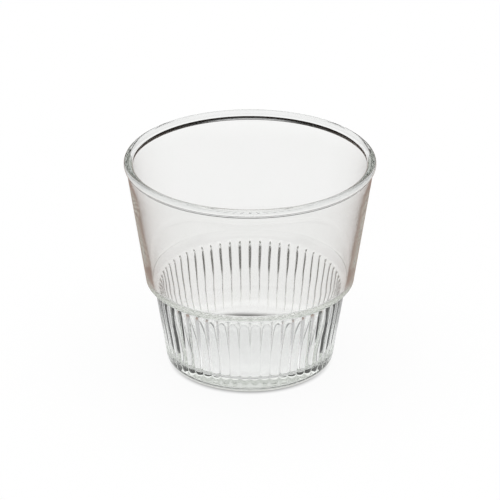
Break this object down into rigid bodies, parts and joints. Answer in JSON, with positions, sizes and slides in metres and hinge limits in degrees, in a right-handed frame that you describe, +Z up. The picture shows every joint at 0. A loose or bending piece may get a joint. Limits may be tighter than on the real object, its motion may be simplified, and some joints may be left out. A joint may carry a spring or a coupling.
{
  "type": "tasting glass",
  "caption": "Clear pressed glass tumbler with a beaded rim, a flared smooth bowl, a stacking shoulder and a narrower reeded base, for tasting drinks.",
  "frame": {"origin": "centre of the foot, on the surface the glass stands on", "axes": "+Z up along the glass's axis, from the foot to the rim; +X passes through the crest of a reed"},
  "size_m": [0.08, 0.08, 0.0705],
  "materials": {
    "clear_glass": "pressed clear soda-lime glass, fire polished, faint green in the thick edges"
  },
  "bodies": {
    "root": {"tumbler": "clear_glass"}
  },
  "joints": []
}
